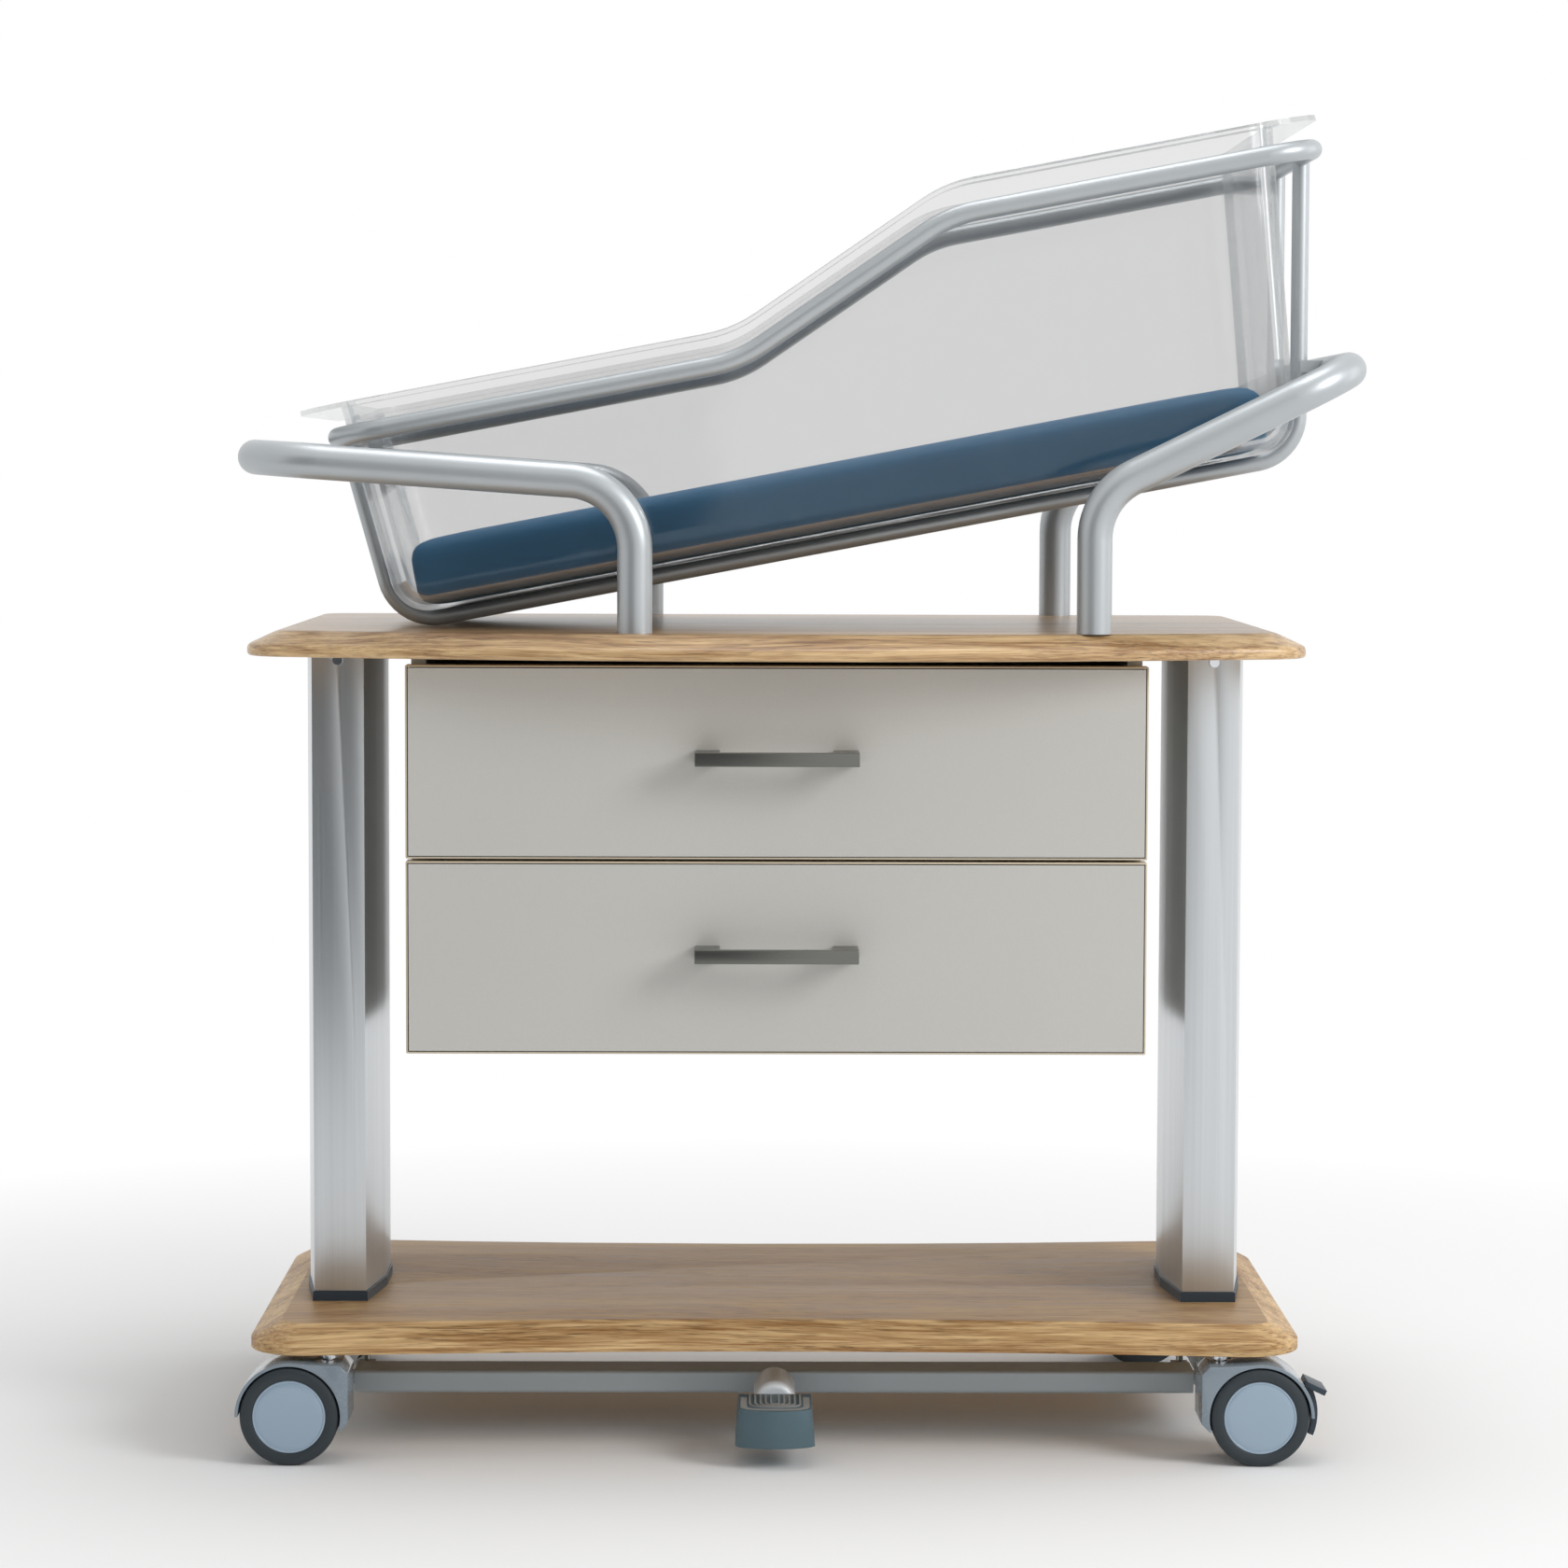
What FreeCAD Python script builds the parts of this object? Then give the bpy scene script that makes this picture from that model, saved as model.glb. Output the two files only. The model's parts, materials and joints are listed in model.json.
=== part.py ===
import FreeCAD, Part
import math
import os

# Hospital bassinet on a height-adjustable trolley.
# Millimetres, +Z up, head end towards +X, front towards -Y, floor at z = 0.
# Everything is laid out about the middle of the columns, and the finished
# object is moved at the end so that the origin is under the middle of its box.

os.makedirs("parts", exist_ok=True)
V = FreeCAD.Vector
UP = V(0, 0, 1)
ALONG_Y = V(0, 1, 0)

# ---- fits and clearances
gap = 0.3                 # between faces of pieces that move apart
fit = 0.05                # radial, on a pin or shaft that turns

# ---- castors
wheel_r = 40.0
wheel_w = 20.0
hub_r = 29.5
tyre_edge = 2.5
axle_r = 4.0
hub_cap = 4.0
trail = 30.0              # stem to axle
web = 13.0                # middle wall of the hood, between the wheels
hood_gap = 1.2
hood_wall = 2.6
hood_lip = 1.0            # side edge of the hood beyond the wheel
hood_front = 47.5         # axle to the flat face at the stem side
hood_top = 42.0           # above the axle, at the stem
hood_low = 5.0            # below the axle, at the stem side
hood_chamfer = 6.5
stem_r = 5.5
stem_depth = 17.0
stem_nut_r = 8.0
stem_nut = 4.5
castor_y = 196.0

# ---- brake levers of the right-hand castors
lever_w = 14.0
lever_t = 4.5
lever_pin_r = 1.25
lever_lug = 5.0
lever_angle_low = -22.0
lever_angle_high = 34.0
lever_tip = 16.0
lever_tip_w = 34.0
lever_tip_t = 4.5
lever_tip_turn = 25.0     # degrees
lever_lap = 1.0           # tip into the curved part

# ---- base board
board_l = 855.0
board_t = 22.0
board_z = 88.5
board_end_y = 221.0       # half depth at the ends
board_hollow = 25.0       # the front and rear edges curve in by this much
edge_bevel = 25.0         # width of the bevel round both boards
edge_land = 9.0           # upright part of the edge, under the bevel
corner_r = 45.0

# ---- columns
column_inset = 65.5       # end of the base board to the middle of a column
column_x = board_l / 2 - column_inset
column_d = 192.0
column_w = 63.5
column_facet = 43.0       # flat front and rear faces
column_side = 54.0        # parallel part of the sides
column_wall = 2.5
column_slide = 0.6        # between outer and inner column
inner_wall = 3.0
collar_h = 8.0
collar_lip = 1.5
lift_travel = 200.0
lift_overlap = 280.0      # inner column still inside the outer one at full height
inner_h = lift_overlap + lift_travel

# ---- gas springs in the columns
spring_inset = 16.0       # from the middle of the column
spring_x = column_x - spring_inset
spring_y = -25.0
cylinder_r = 9.0
cylinder_wall = 1.5
cylinder_spare = 240.0    # cylinder length beyond the stroke
cylinder_l = cylinder_spare + lift_travel
cylinder_cap = 12.0
rod_r = 4.0
piston_l = 12.0
piston_z = 160.0
pin_r = 3.0
pin_head_r = 5.0
pin_head = 4.0
pin_chamfer = 1.2
board_hole_r = 4.5

# ---- release bar and foot pedal
bar_d = 40.0
bar_h = 19.0
bar_round = 3.0
bar_wall = 2.0
bar_y = -94.0
bar_z = 46.0
bar_end_gap = 9.0         # to the side tubes
journal_r = 6.0
journal_short = 3.0       # end of the journals inside the side tubes
bush_wall = 2.0
arm_w = 14.0
arm_t = 5.0
arm_drop = 1.0            # top of the arms below the bar's centre
side_tube_w = 20.0
side_tube_out = 6.0       # middle of a side tube beyond the middle of the column
side_tube_x = column_x + side_tube_out
side_tube_end = 104.0
tube_wall = 2.0
bar_l = 2 * (side_tube_x - side_tube_w / 2 - bar_end_gap)
journal_l = bar_end_gap + side_tube_w - journal_short
spacer_r = 7.0
bolt_r = 4.0
bolt_head_r = 7.0
bolt_head = 5.0
bolt_y = 60.0
lever_bar_r = 17.2
pad_w = 59.5
pad_flare = 2.5           # each side of the foot of the pad
pad_h = 30.5
pad_top_z = 48.6
pad_front_y = -240.0
pad_l = 68.0
pad_bow = 9.0
tongue_w = 30.0
tongue_t = 9.0
tongue_l = 48.0

# ---- table top
top_z = 652.5
top_t = 20.5
top_l = 855.0
top_front_y = 202.0       # front edge at the ends
top_bow = 78.0            # the front edge curves out by this much
top_rear_y = 255.0
bracket_h = 25.0
screw_r = 4.0
screw_head = 2.2
screw_l = 9.0
screw_z = 7.5             # below the table top

# ---- push handles
handle_r = 14.0
handle_wall = 2.0
handle_y = 222.0
handle_bend = 55.0
handle_corner = 55.0
left_leg_inset = 313.9    # from the left end of the table top
left_leg_x = left_leg_inset - top_l / 2
left_leg_h = 117.5        # table top to the corner of the tube's centre line
left_end_inset = 7.2
left_end_x = left_end_inset - top_l / 2
left_slope = 3.97
right_leg_inset = 175.3   # from the right end of the table top
right_leg_x = top_l / 2 - right_leg_inset
right_leg_h = 109.8
right_slope = 26.1

# ---- drawers
carcass_half = 294.0
carcass_t = 12.0
carcass_front = -190.0
carcass_rear = 201.0
carcass_floor = 6.0
front_lap = 3.5           # each side, beyond the carcass
front_w = 2 * (carcass_half + front_lap)
front_t = 20.0
front_h = 155.3
front_gap = 2.0
front_top_gap = 6.2
rail_plate = 2.0
rail_h = 30.0
runner_bar_t = 6.5
runner_bar_h = 12.0
box_wall = 10.0
box_floor = 6.0
box_h = 112.0
box_lift = 14.0           # box floor above the lower edge of its front
pull_w = 131.0
pull_h = 11.0
pull_t = 8.0
pull_reach = 35.0
pull_leg = 20.0
pull_below = 73.0         # pull's middle below the top of its front
drawer_travel = 300.0
box_kept = 70.0           # length of the box still inside when open
box_l = drawer_travel + box_kept

# ---- basket frame (laid out level, then tilted head up)
tilt = 10.8               # degrees
foot_inset = 114.8        # left end of the table top to the foot crossing
foot_x = foot_inset - top_l / 2
runner_r = 7.0
runner_y = 80.0
runner_l = 757.0
runner_bend = 40.0
foot_flare = 4.9
head_flare = 10.8
ring_r = 8.0
ring_y = 187.0
ring_foot_h = 158.7
ring_head_h = 241.3
ring_low_u = 316.3
ring_high_u = 504.6
ring_bend = 105.0
ring_corner = 40.0
basket_wall = 1.5         # wall of the basket's tubes
rest_up = 4.4             # middle of the rests above the crossbar's centre line
rest_reach = 29.1         # head uprights to the crossbar
rest_h = 10.0
rest_w = 16.0
rest_play = 0.8           # round the uprights, which lean as the basket is lowered

# ---- basin and mattress
basin_wall = 5.0
basin_play = 3.0          # side walls to the ring
basin_y = ring_y - ring_r - basin_play
basin_off = 9.2           # outer face from the uprights' centre lines
basin_head_flare = 5.8    # the head wall stands steeper than the uprights
basin_edge = 28.0
rim_up = 26.0             # top of the rim above the ring's centre line
rim_t = 4.0
rim_out = 17.5            # beyond the ring's centre line, at the sides
rim_y = ring_y + rim_out
rim_foot = 25.5           # beyond the ring's centre line
rim_head = 6.3
rim_corner = 52.0
mattress_t = 50.0
mattress_play = 11.0      # to the basin's side walls
mattress_y = basin_y - basin_wall - mattress_play
mattress_start = 24.0
mattress_end = 28.0       # from the head uprights' foot
mattress_l = runner_l - mattress_start - mattress_end
mattress_edge = 12.0

upright_x = foot_x + runner_l * math.cos(math.radians(tilt))
right_end_x = upright_x + rest_reach

nodes = {}


def add(name, *shapes):
    """Keep the named piece; several solids go together as one compound."""
    nodes[name] = shapes[0] if len(shapes) == 1 else Part.makeCompound(list(shapes))


def box(x0, x1, y0, y1, z0, z1):
    return Part.makeBox(x1 - x0, y1 - y0, z1 - z0, V(x0, y0, z0))


def rod(r, start, end):
    start = V(*start)
    direction = V(*end) - start
    return Part.makeCylinder(r, direction.Length, start, direction)


def fuse(shapes):
    return shapes[0].fuse(list(shapes[1:])).removeSplitter()


def prism(points, direction):
    """Straight-sided solid on a closed polygon."""
    corners = [V(*p) for p in points]
    return Part.Face(Part.makePolygon(corners + corners[:1])).extrude(V(*direction))


def rounded_path(points, radii, closed=False):
    """Wire of straight runs joined by tangent arcs, one radius per corner."""
    corners = [V(*p) for p in points]
    count = len(corners)
    arcs = {}
    for i in range(count):
        if not closed and i in (0, count - 1):
            continue
        here = corners[i]
        back = (corners[i - 1] - here).normalize()
        ahead = (corners[(i + 1) % count] - here).normalize()
        half = math.acos(max(-1.0, min(1.0, back.dot(ahead)))) / 2
        reach = radii[i] / math.tan(half)
        middle = (back + ahead).normalize()
        nearest = here + middle * (radii[i] / math.sin(half) - radii[i])
        arcs[i] = (here + back * reach, nearest, here + ahead * reach)
    edges = []
    spans = range(count) if closed else range(count - 1)
    for i in spans:
        j = (i + 1) % count
        start = arcs[i][2] if i in arcs else corners[i]
        end = arcs[j][0] if j in arcs else corners[j]
        if (end - start).Length > 1e-6:
            edges.append(Part.LineSegment(start, end).toShape())
        if j in arcs:
            edges.append(Part.Arc(*arcs[j]).toShape())
    return edges


def swept(edges, r):
    """Round bar along the edges: a cylinder or a piece of a torus for each."""
    pieces = []
    for edge in edges:
        start = edge.valueAt(edge.FirstParameter)
        along = edge.tangentAt(edge.FirstParameter)
        disc = Part.Face(Part.Wire(Part.makeCircle(r, start, along)))
        if edge.Curve.TypeId == "Part::GeomLine":
            pieces.append(disc.extrude(edge.valueAt(edge.LastParameter) - start))
            continue
        circle = edge.Curve
        turn = math.degrees(edge.Length / circle.Radius)
        axis = (start - circle.Center).cross(along)
        pieces.append(disc.revolve(circle.Center, axis, turn))
    return pieces[0].fuse(pieces[1:])


def pipe(edges, r, wall):
    return swept(edges, r).cut(swept(edges, r - wall))


# ---------------------------------------------------------------- boards
def board(front_y, front_bow, rear_y, rear_bow, length, bottom, thick):
    """Board with bowed edges, rounded corners and a wide bevel all round."""
    half = length / 2
    corners = [V(-half, front_y, 0), V(half, front_y, 0), V(half, rear_y, 0), V(-half, rear_y, 0)]
    front = Part.Arc(corners[0], V(0, front_y - front_bow, 0), corners[1]).toShape()
    right = Part.LineSegment(corners[1], corners[2]).toShape()
    if rear_bow:
        rear = Part.Arc(corners[2], V(0, rear_y + rear_bow, 0), corners[3]).toShape()
    else:
        rear = Part.LineSegment(corners[2], corners[3]).toShape()
    left = Part.LineSegment(corners[3], corners[0]).toShape()
    slab = Part.Face(Part.Wire([front, right, rear, left])).extrude(UP * thick)
    upright = [e for e in slab.Edges if e.Curve.TypeId == "Part::GeomLine" and abs(e.tangentAt(0).z) > 0.9]
    slab = slab.makeFillet(corner_r, upright)
    top = [f for f in slab.Faces if abs(f.CenterOfMass.z - thick) < 1e-6][0]
    outer = top.OuterWire
    inner = Part.Face(outer).makeOffset2D(-edge_bevel).OuterWire
    low = outer.translated(UP * (edge_land - thick))
    land = Part.Face(low).translated(UP * -edge_land).extrude(UP * edge_land)
    bevel = Part.makeLoft([low, inner], True, True)
    whole = land.fuse(bevel).removeSplitter()
    whole.translate(UP * bottom)
    return whole


board_top = board_z + board_t
table_z = top_z + top_t


def make_base_board():
    whole = board(-board_end_y, -board_hollow, board_end_y, -board_hollow, board_l, board_z, board_t)
    for side in (-1, 1):
        x = side * spring_x
        whole = whole.cut(rod(board_hole_r, (x, spring_y, board_z), (x, spring_y, board_top)))
    add("base_board", whole)


def make_table_top():
    add("table_top", board(-top_front_y, top_bow, top_rear_y, 0, top_l, top_z, top_t))


# ---------------------------------------------------------------- columns
def column_face(inset):
    """Eight-sided column section, made smaller all round by the inset."""
    d = column_d / 2
    w = column_w / 2
    f = column_facet / 2
    s = column_side / 2
    right = [V(f, -d, 0), V(w, -s, 0), V(w, s, 0), V(f, d, 0)]
    left = [V(-f, d, 0), V(-w, s, 0), V(-w, -s, 0), V(-f, -d, 0)]
    corners = right + left
    face = Part.Face(Part.makePolygon(corners + corners[:1]))
    if inset:
        face = Part.Face(face.makeOffset2D(-inset, 2).OuterWire)
    return face


def column_tube(x, bottom, height, inset, wall):
    outside = column_face(inset).extrude(UP * height)
    whole = outside.cut(column_face(inset + wall).extrude(UP * height))
    whole.translate(V(x, 0, bottom))
    return whole


column_bottom = board_top + collar_h + gap
inner_inset = column_wall + column_slide


def make_columns():
    for name, side in (("left", -1), ("right", 1)):
        x = side * column_x
        outer = column_tube(x, column_bottom, top_z - column_bottom, 0, column_wall)
        for face_y in (-1, 1):
            z = top_z - screw_z
            outside = face_y * column_d / 2
            inside = outside - face_y * column_wall
            outer = outer.cut(rod(screw_r / 2, (x, outside, z), (x, inside, z)))
        add("outer_column_" + name, outer)
        add("inner_column_" + name, column_tube(x, board_top, inner_h, inner_inset, inner_wall))
    collars = []
    brackets = []
    screws = []
    for side in (-1, 1):
        x = side * column_x
        lip = column_face(-collar_lip).extrude(UP * collar_h)
        lip = lip.cut(column_face(inner_inset).extrude(UP * collar_h))
        lip.translate(V(x, 0, board_top))
        collars.append(lip)
        block = column_face(column_wall).extrude(UP * bracket_h)
        block.translate(V(x, 0, top_z - bracket_h))
        for face_y in (-1, 1):
            wall_y = face_y * column_d / 2
            z = top_z - screw_z
            shank = rod(screw_r / 2, (x, wall_y, z), (x, wall_y - face_y * screw_l, z))
            head = rod(screw_r, (x, wall_y + face_y * screw_head, z), (x, wall_y, z))
            block = block.cut(shank)
            screws.append(head.fuse(shank).removeSplitter())
        brackets.append(block)
    add("column_collars", *collars)
    add("top_brackets", *brackets)
    add("column_screws", *screws)


# ---------------------------------------------------------------- gas springs
pin_tip = bar_z - arm_drop + gap


def make_gas_springs():
    cylinders = []
    rods = []
    pins = []
    for side in (-1, 1):
        x = side * spring_x
        y = spring_y
        top = board_top + cylinder_l
        barrel = rod(cylinder_r, (x, y, board_top), (x, y, top))
        low = board_top + cylinder_cap
        barrel = barrel.cut(rod(cylinder_r - cylinder_wall, (x, y, low), (x, y, top - cylinder_cap)))
        barrel = barrel.cut(rod(pin_r + fit, (x, y, board_top), (x, y, low)))
        barrel = barrel.cut(rod(rod_r + fit, (x, y, top - cylinder_cap), (x, y, top)))
        cylinders.append(barrel)
        stem = rod(rod_r, (x, y, piston_z), (x, y, top_z - bracket_h))
        piston = rod(cylinder_r - cylinder_wall - fit, (x, y, piston_z), (x, y, piston_z + piston_l))
        rods.append(stem.fuse(piston).removeSplitter())
        head_z = low + gap
        pin = rod(pin_r, (x, y, pin_tip), (x, y, head_z + pin_head))
        pin = pin.makeChamfer(pin_chamfer, [e for e in pin.Edges if abs(e.BoundBox.ZMax - pin_tip) < 1e-3])
        pin = pin.fuse(rod(pin_head_r, (x, y, head_z), (x, y, head_z + pin_head))).removeSplitter()
        pins.append(pin)
    add("gas_cylinders", *cylinders)
    add("gas_rods", *rods)
    add("release_pins", *pins)


# ---------------------------------------------------------------- release bar and pedal
def rect_tube(x0, x1, y0, y1, z0, z1, along, wall, r):
    """Rectangular tube with rounded long edges, hollow from end to end."""
    solid = box(x0, x1, y0, y1, z0, z1)
    tangent = {"x": V(1, 0, 0), "y": V(0, 1, 0)}[along]
    long_edges = [e for e in solid.Edges if abs(e.tangentAt(0).dot(tangent)) > 0.9]
    solid = solid.makeFillet(r, long_edges)
    if along == "x":
        return solid.cut(box(x0, x1, y0 + wall, y1 - wall, z0 + wall, z1 - wall))
    return solid.cut(box(x0 + wall, x1 - wall, y0, y1, z0 + wall, z1 - wall))


bar_front = bar_y - bar_d / 2
bar_rear = bar_y + bar_d / 2
tube_low = bar_z - bar_h / 2
tube_high = bar_z + bar_h / 2


def make_release_bar():
    half = bar_l / 2
    bar = rect_tube(-half, half, bar_front, bar_rear, tube_low, tube_high, "x", bar_wall, bar_round)
    extras = []
    for side in (-1, 1):
        plug_end = side * (half - journal_l)
        plug = box(min(plug_end, side * half), max(plug_end, side * half), bar_front + bar_wall,
                   bar_rear - bar_wall, tube_low + bar_wall, tube_high - bar_wall)
        pin = rod(journal_r, (side * half, bar_y, bar_z), (side * (half + journal_l), bar_y, bar_z))
        extras += [plug, pin]
        arm_top = bar_z - arm_drop
        inner_x = side * (spring_x - arm_w / 2)
        outer_x = side * (spring_x + arm_w / 2)
        end_y = spring_y + arm_w / 2
        x0 = min(inner_x, outer_x)
        x1 = max(inner_x, outer_x)
        extras.append(box(x0, x1, bar_rear - bar_wall, end_y, arm_top - arm_t, arm_top))
    add("release_bar", fuse([bar] + extras))
    bushes = []
    tubes = []
    for side in (-1, 1):
        x0 = side * side_tube_x - side_tube_w / 2
        x1 = side * side_tube_x + side_tube_w / 2
        end = side_tube_end
        tube = rect_tube(x0, x1, -end, end, tube_low, tube_high, "y", tube_wall, bar_round)
        bore = rod(journal_r + fit + bush_wall, (x0, bar_y, bar_z), (x1, bar_y, bar_z))
        tube = tube.cut(bore)
        bush = bore.cut(rod(journal_r + fit, (x0, bar_y, bar_z), (x1, bar_y, bar_z)))
        bushes.append(bush)
        for end in (-1, 1):
            x = side * side_tube_x
            y = end * bolt_y
            tube = tube.cut(rod(bolt_r, (x, y, tube_low), (x, y, tube_high)))
        tubes.append(tube)
    add("pedal_bearings", *bushes)
    add("side_tubes", *tubes)
    bolts = []
    for side in (-1, 1):
        for end in (-1, 1):
            x = side * side_tube_x
            y = end * bolt_y
            head = rod(bolt_head_r, (x, y, tube_low - bolt_head), (x, y, tube_low))
            shank = rod(bolt_r, (x, y, tube_low), (x, y, tube_high))
            spacer = rod(spacer_r, (x, y, tube_high), (x, y, board_z))
            bolts.append(fuse([head, shank, spacer]))
    add("base_bolts", *bolts)


def make_pedal():
    pad_rear = pad_front_y + pad_l
    low = pad_top_z - pad_h
    axis_z = bar_z - (lever_bar_r - bar_h / 2 - bar_round)
    bar = rod(lever_bar_r, (0, pad_rear, axis_z), (0, bar_front, axis_z))
    nose = [e for e in bar.Edges if abs(e.CenterOfMass.y - pad_rear) < 1e-3 and e.Closed]
    bar = bar.makeFillet(bar_round * 2, nose)
    tongue_low = (low + pad_top_z - tongue_t) / 2
    tongue = box(-tongue_w / 2, tongue_w / 2, pad_rear - tongue_l, pad_rear + bar_round * 4,
                 tongue_low, tongue_low + tongue_t)
    add("pedal_lever", fuse([bar, tongue]))
    half = pad_w / 2
    side = half + pad_flare
    sections = []
    for z, w in ((low, side), (pad_top_z, half)):
        left = V(-w, pad_rear, z)
        near_left = V(-w, pad_front_y + pad_bow, z)
        near_right = V(w, pad_front_y + pad_bow, z)
        right = V(w, pad_rear, z)
        front = Part.Arc(near_left, V(0, pad_front_y, z), near_right).toShape()
        lines = [Part.LineSegment(left, near_left).toShape(), front,
                 Part.LineSegment(near_right, right).toShape(), Part.LineSegment(right, left).toShape()]
        sections.append(Part.Wire(lines))
    pad = Part.makeLoft(sections, True, True)
    corners = []
    for e in pad.Edges:
        box_e = e.BoundBox
        if box_e.ZLength > pad_h * 0.9 and box_e.YMax < pad_rear - 1:
            corners.append(e)
    pad = pad.makeFillet(pad_bow, corners)
    add("pedal_pad", pad.cut(tongue))


# ---------------------------------------------------------------- castors
def make_stem_set():
    stems = []
    for x, y in castor_places:
        top = board_z
        shaft = rod(stem_r, (x, y, wheel_r + hood_top - stem_depth), (x, y, top))
        nut = rod(stem_nut_r, (x, y, top - stem_nut), (x, y, top))
        stems.append(shaft.fuse(nut).removeSplitter())
    add("castor_stems", *stems)


castor_places = [(-column_x, -castor_y), (column_x, -castor_y), (-column_x, castor_y), (column_x, castor_y)]
castor_names = ["front_left", "front_right", "rear_left", "rear_right"]
castor_trails = [-1, 1, -1, -1]
braked = [False, True, False, True]
hood_half = web / 2 + wheel_w + hood_lip


def hood_shape():
    """Hood about its axle, trailing towards -X, with the stem at +trail."""
    outer_r = wheel_r + hood_gap + hood_wall
    recess_r = wheel_r + hood_gap
    y0 = -hood_half
    dome = rod(outer_r, (0, y0, 0), (0, -y0, 0))
    dome = dome.common(box(-outer_r, outer_r, y0, -y0, 0, outer_r))
    edge = hood_front - hood_chamfer
    foot = -hood_low - hood_chamfer
    outline = [(0, y0, -hood_low), (0, y0, outer_r), (trail, y0, hood_top), (edge, y0, hood_top),
               (hood_front, y0, hood_top - hood_chamfer), (hood_front, y0, -hood_low),
               (edge, y0, foot), (recess_r / 2, y0, foot)]
    block = prism(outline, (0, 2 * hood_half, 0))
    hub = rod(axle_r + hub_cap, (0, -web / 2, 0), (0, web / 2, 0))
    shell = fuse([dome, block, hub])
    for side in (-1, 1):
        shell = shell.cut(rod(recess_r, (0, side * web / 2, 0), (0, side * (hood_half + 1), 0)))
    shell = shell.cut(rod(axle_r, (0, -web / 2, 0), (0, web / 2, 0)))
    socket = rod(stem_r + fit, (trail, 0, hood_top - stem_depth - gap), (trail, 0, hood_top + 1))
    return shell.cut(socket)


def lug_centre():
    return wheel_r + hood_gap + hood_wall + lever_t / 2 + gap


def hood_lug():
    x = -lug_centre()
    block = rod(lever_t / 2, (x, -lever_lug / 2, 0), (x, lever_lug / 2, 0))
    neck_x = x + lever_t / 2 + gap + hood_wall / 2
    neck = box(x, neck_x, -lever_lug / 2, lever_lug / 2, -lever_t / 2, lever_t / 2)
    lug = block.fuse(neck)
    return lug.cut(rod(lever_pin_r + fit, (x, -lever_lug, 0), (x, lever_lug, 0)))


def brake_lever_shape():
    """Curved lever outside the hood, on a pin through the hood's lug."""
    inner_r = wheel_r + hood_gap + hood_wall + gap
    outer_r = inner_r + lever_t
    ring = rod(outer_r, (0, -lever_w / 2, 0), (0, lever_w / 2, 0))
    ring = ring.cut(rod(inner_r, (0, -lever_w / 2, 0), (0, lever_w / 2, 0)))
    far = 2 * outer_r
    low = math.radians(180 - lever_angle_low)
    high = math.radians(180 - lever_angle_high)
    wedge = [(0, -lever_w, 0), (far * math.cos(low), -lever_w, far * math.sin(low)), (-far, -lever_w, 0),
             (far * math.cos(high), -lever_w, far * math.sin(high))]
    arc = ring.common(prism(wedge, (0, 2 * lever_w, 0)))
    tip_x = outer_r * math.cos(high)
    tip_z = outer_r * math.sin(high)
    tip = box(-lever_tip, lever_lap, -lever_tip_w / 2, lever_tip_w / 2, -lever_tip_t, 0)
    tip.rotate(V(0, 0, 0), ALONG_Y, -lever_tip_turn)
    tip.translate(V(tip_x, 0, tip_z))
    lever = arc.fuse(tip)
    clear = hood_gap + lever_lug
    x = -lug_centre()
    slot = box(x - lever_t, x + lever_t, -clear / 2, clear / 2, -lever_t, lever_t)
    lever = lever.cut(slot)
    lever = lever.cut(rod(inner_r, (0, -lever_tip_w, 0), (0, lever_tip_w, 0)))
    pin = rod(lever_pin_r, (x, -lever_w / 2, 0), (x, lever_w / 2, 0))
    return lever.fuse(pin).removeSplitter()


def wheel_shapes(side):
    """Tyre and hub disc of one wheel; side is -1 for the outer one in front."""
    y0 = side * (web / 2 + gap)
    y1 = y0 + side * (wheel_w - gap)
    tyre = rod(wheel_r, (0, y0, 0), (0, y1, 0))
    tyre = tyre.makeFillet(tyre_edge, [e for e in tyre.Edges if e.Closed])
    tyre = tyre.cut(rod(hub_r, (0, y0, 0), (0, y1, 0)))
    hub = rod(hub_r, (0, y0, 0), (0, y1, 0))
    hub = hub.cut(rod(axle_r + fit, (0, y0, 0), (0, y1 - side * hub_cap, 0)))
    return tyre, hub


def make_castors():
    for place, name, direction, has_brake in zip(castor_places, castor_names, castor_trails, braked):
        x, y = place
        centre = V(x + direction * trail, y, wheel_r)

        def set_down(shape):
            if direction > 0:
                shape = shape.rotated(V(0, 0, 0), UP, 180)
            return shape.translated(centre)

        hood = hood_shape()
        if has_brake:
            hood = fuse([hood, hood_lug()])
            add("brake_lever_" + name, set_down(brake_lever_shape()))
        add("castor_hood_" + name, set_down(hood))
        reach = web / 2 + wheel_w - hub_cap - gap
        add("castor_axle_" + name, set_down(rod(axle_r, (0, -reach, 0), (0, reach, 0))))
        for label, side in (("near", -1), ("far", 1)):
            turned = side if direction < 0 else -side
            add("castor_wheel_" + name + "_" + label, *[set_down(s) for s in wheel_shapes(turned)])


# ---------------------------------------------------------------- push handles
def handle_path(leg_x, leg_h, end_x, slope):
    """Leg, rising side tube and end crossbar, there and back."""
    low = table_z
    bend_z = table_z + leg_h
    end_z = handle_end_z(leg_x, leg_h, end_x, slope)
    points = [(leg_x, -handle_y, low), (leg_x, -handle_y, bend_z), (end_x, -handle_y, end_z),
              (end_x, handle_y, end_z), (leg_x, handle_y, bend_z), (leg_x, handle_y, low)]
    radii = [0, handle_bend, handle_corner, handle_corner, handle_bend, 0]
    return rounded_path(points, radii)


def handle_end_z(leg_x, leg_h, end_x, slope):
    return table_z + leg_h + abs(end_x - leg_x) * math.tan(math.radians(slope))


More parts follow.
